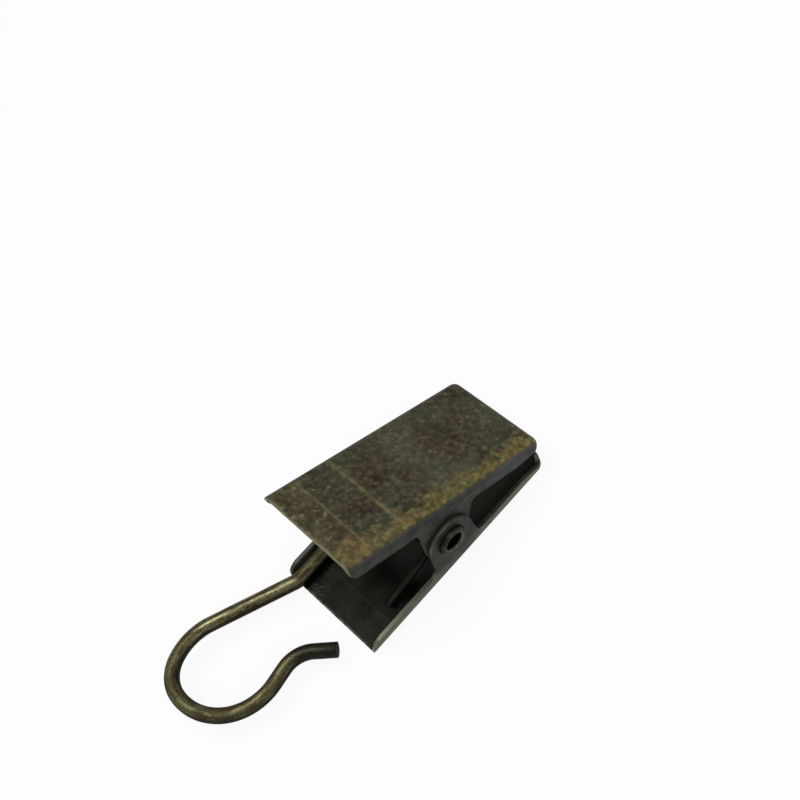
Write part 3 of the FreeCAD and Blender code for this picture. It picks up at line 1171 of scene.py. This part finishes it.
@dataclass
class Jaw:
    """One stamped jaw, taken over from the solid with its faces sorted into outside, inside and cut edges.

    Triangles within flat_angle degrees of each other become one face. A face below floor_top whose normal has
    more than floor_upright of its length upright belongs to the floor.
    """

    place: Place
    node: str
    body: str
    width: float
    nose: float = 13.7
    bend_r: float = 1.05
    floor_top: float = 0.8
    floor_upright: float = 0.6
    edge_round: float = 0.09
    edge_steps: int = 2
    edge_seen: float = 0.02
    weld: float = 1e-4
    flat_angle: float = 0.6

    def local(self, points: np.ndarray) -> np.ndarray:
        """Turns points about the pivot, or directions, to the stamping's own frame.

        Formula: the lower jaw lies in it already; the upper one is turned half round the middle plane's line
        d, p' = 2 d (d . p) - p.

        Args:
            points: places from the pivot, or directions.

        Returns:
            The turned rows.
        """
        if self.place is Place.LOWER:
            return points
        d = np.array([np.cos(JAW_ANGLE / 2), 0.0, -np.sin(JAW_ANGLE / 2)])
        return 2 * np.outer(points @ d, d) - points

    def sort_faces(self, piece: bpy.types.Object) -> None:
        """Stores which faces are inside and which are cut edges, as inner_side and cut_edge.

        Formula: depth below the outer skin = r - |(a, b, c)|, with a, b, c how far a face's middle has gone
        past the inner edge of the side bend, the floor bend and the nose bend of radius r.

        Args:
            piece: the jaw.
        """
        count = len(piece.data.polygons)
        middle, normal = np.zeros(count * 3), np.zeros(count * 3)
        piece.data.polygons.foreach_get("center", middle)
        piece.data.polygons.foreach_get("normal", normal)
        middle = self.local(middle.reshape(-1, 3) / MM - PIVOT) + PIVOT
        normal = self.local(normal.reshape(-1, 3))
        r = self.bend_r
        gone = np.stack([np.abs(middle[:, 1]) - (self.width / 2 - r), r - middle[:, 2],
                         middle[:, 0] - (self.nose - r)], -1).clip(0)
        depth = r - np.linalg.norm(gone, axis=1)
        floor = (np.abs(normal[:, 2]) > self.floor_upright) & (middle[:, 2] < self.floor_top)
        inner = np.where(floor, normal[:, 2] > 0, depth > SHEET - self.edge_seen)
        cut = ~floor & (depth > self.edge_seen) & (depth < SHEET - self.edge_seen)
        Skin.store(piece, "inner_side", (inner & ~cut).astype(float), "FACE")
        Skin.store(piece, "cut_edge", cut.astype(float), "FACE")

    def rounded_copy(self) -> bpy.types.Mesh:
        """Copies the solid's mesh, joins its loose triangles and rounds its sharp edges a little.

        Returns:
            The new mesh, smooth shaded.
        """
        shell = bmesh.new()
        shell.from_mesh(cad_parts[self.node].data)
        shell.transform(Matrix.Scale(1 / MM, 4))
        bmesh.ops.remove_doubles(shell, verts=shell.verts, dist=self.weld)
        bmesh.ops.dissolve_limit(shell, angle_limit=np.radians(self.flat_angle), verts=shell.verts,
                                 edges=shell.edges)
        sharp = [edge for edge in shell.edges if edge.is_manifold and edge.calc_face_angle(0.0) > SHARP_ANGLE]
        bmesh.ops.bevel(shell, geom=sharp, offset=self.edge_round, segments=self.edge_steps, profile=0.5,
                        affect="EDGES", clamp_overlap=True)
        shell.transform(Matrix.Scale(MM, 4))
        data = bpy.data.meshes.new(f"{self.place.value}_stamping")
        shell.to_mesh(data)
        shell.free()
        data.polygons.foreach_set("use_smooth", np.ones(len(data.polygons), bool))
        return data

    def build(self) -> bpy.types.Object:
        """Makes and dresses the jaw.

        Returns:
            The jaw, whose large faces are shaded flat up to their rounded edges.
        """
        data = self.rounded_copy()
        piece = bpy.data.objects.new(data.name, data)
        bpy.context.scene.collection.objects.link(piece)
        piece.modifiers.new("even_shading", "WEIGHTED_NORMAL").mode = "FACE_AREA"
        self.sort_faces(piece)
        data.materials.append(AgedBronze(self.place, self.width / 2).material())
        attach(piece, self.body)
        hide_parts(self.node)
        return piece


@dataclass(frozen=True)
class Lamp:
    """Square soft lamp: its place, the point it faces, its edge length and its watts."""

    name: str
    at: tuple[float, float, float]
    toward: tuple[float, float, float]
    size: float
    power: float

    def build(self) -> bpy.types.Object:
        """Adds the lamp.

        Returns:
            The lamp.
        """
        data = bpy.data.lights.new(self.name, "AREA")
        data.shape, data.size, data.energy = "SQUARE", self.size * MM, self.power
        lamp = bpy.data.objects.new(self.name, data)
        lamp.location = Vector(self.at) * MM
        lamp.rotation_euler = (Vector(self.toward) - Vector(self.at)).to_track_quat("-Z", "Y").to_euler()
        bpy.context.scene.collection.objects.link(lamp)
        return lamp


@dataclass
class Studio:
    """White table, soft lamps and the camera, which was fitted to the photograph's outline.

    The camera's angles are in degrees: heading from +x towards +y, dip below the level, and roll about its
    own line of sight. Its focal length and the picture's width are in pixels.
    """

    camera_at: tuple[float, float, float] = (-14.597, -54.956, 108.742)
    heading: float = 70.140
    dip: float = 56.551
    roll: float = -29.876
    focal: float = 1097.88
    image: float = 800.0
    sensor: float = 36.0
    sight: tuple[float, float] = (5.0, 10000.0)
    table_half: float = 600.0
    table_level: float = -0.02
    table_grey: float = 0.86
    seen_white: float = 0.91
    seen_rays: tuple[str, str, str] = ("Is Camera Ray", "Is Glossy Ray", "Is Transmission Ray")
    sky: float = 0.5
    lamps: tuple[Lamp, ...] = (
        Lamp("top_lamp", (-30, 60, 260), (0, 0, 0), 150, 0.30),
        Lamp("front_lamp", (40, -240, 200), (0, 0, 4), 140, 0.15),
    )

    def camera(self) -> bpy.types.Object:
        """Places the camera by its three angles.

        Formula: ahead has the heading and the dip; right is the level line square to it, rolled about it; up
        is square to both.

        Returns:
            The camera, set as the scene's.
        """
        heading, dip, roll = np.radians([self.heading, self.dip, self.roll])
        ahead = np.array([np.cos(heading) * np.cos(dip), np.sin(heading) * np.cos(dip), -np.sin(dip)])
        level = np.array([np.sin(heading), -np.cos(heading), 0.0])
        right = np.cos(roll) * level + np.sin(roll) * np.cross(level, ahead)
        axes = np.stack([right, np.cross(right, ahead), -ahead], 1)
        matrix = Matrix(axes.tolist()).to_4x4()
        matrix.translation = Vector(self.camera_at) * MM
        data = bpy.data.cameras.new("camera")
        data.sensor_fit, data.sensor_width = "HORIZONTAL", self.sensor
        data.lens = self.focal / self.image * self.sensor
        data.clip_start, data.clip_end = (end * MM for end in self.sight)
        camera = bpy.data.objects.new("camera", data)
        camera.matrix_world = matrix
        bpy.context.scene.collection.objects.link(camera)
        bpy.context.scene.camera = camera
        return camera

    def floor(self) -> bpy.types.Object:
        """Lays a pale table top that is seen as white, with the clip's soft shadow left on it.

        Returns:
            The table.
        """
        g = Graph("white_table")
        camera, glossy, through = (g.node("ShaderNodeLightPath", {}, {}, ray) for ray in self.seen_rays)
        seen = (camera + glossy + through).least(1.0) * self.seen_white
        glow = g.node("ShaderNodeEmission", {}, {"Color": WHITE, "Strength": 1.0})
        matte = g.node("ShaderNodeBsdfDiffuse", {}, {"Color": (*[self.table_grey] * 3, 1.0)})
        white = g.end(g.node("ShaderNodeMixShader", {}, {0: seen, 1: matte, 2: glow}))
        signs = np.array([[-1, -1], [1, -1], [1, 1], [-1, 1]])
        corners = np.column_stack([signs * self.table_half, np.full(len(signs), self.table_level)])
        table = Skin.mesh("table", corners, np.array([[0, 1, 2, 3]]))
        table.data.materials.append(white)
        return table

    def world(self) -> None:
        """Sets pale even surroundings."""
        world = bpy.data.worlds.new("surroundings")
        world.use_nodes = True
        sky = world.node_tree.nodes["Background"]
        sky.inputs["Color"].default_value = WHITE
        sky.inputs["Strength"].default_value = self.sky
        bpy.context.scene.world = world

    def build(self) -> None:
        """Sets up the whole studio."""
        self.camera()
        self.floor()
        self.world()
        for lamp in self.lamps:
            lamp.build()
        bpy.context.scene.view_settings.view_transform = "Standard"


def main() -> None:
    """Builds the clip piece by piece, then the studio."""
    logging.basicConfig(level=logging.INFO, format="%(name)s: %(message)s")
    pieces: list[Union[Jaw, Rivet, TorsionSpring, Hook]] = [
        Jaw(Place.LOWER, "lower_jaw", "lower", LOWER_WIDTH),
        Jaw(Place.UPPER, "upper_jaw", "upper", UPPER_WIDTH),
        Rivet(),
        TorsionSpring(),
        Hook(),
    ]
    for piece in pieces:
        made = piece.build()
        log.info("%s: %d faces", made.name, len(made.data.polygons))
    Studio().build()


if __name__ == "__main__":
    main()
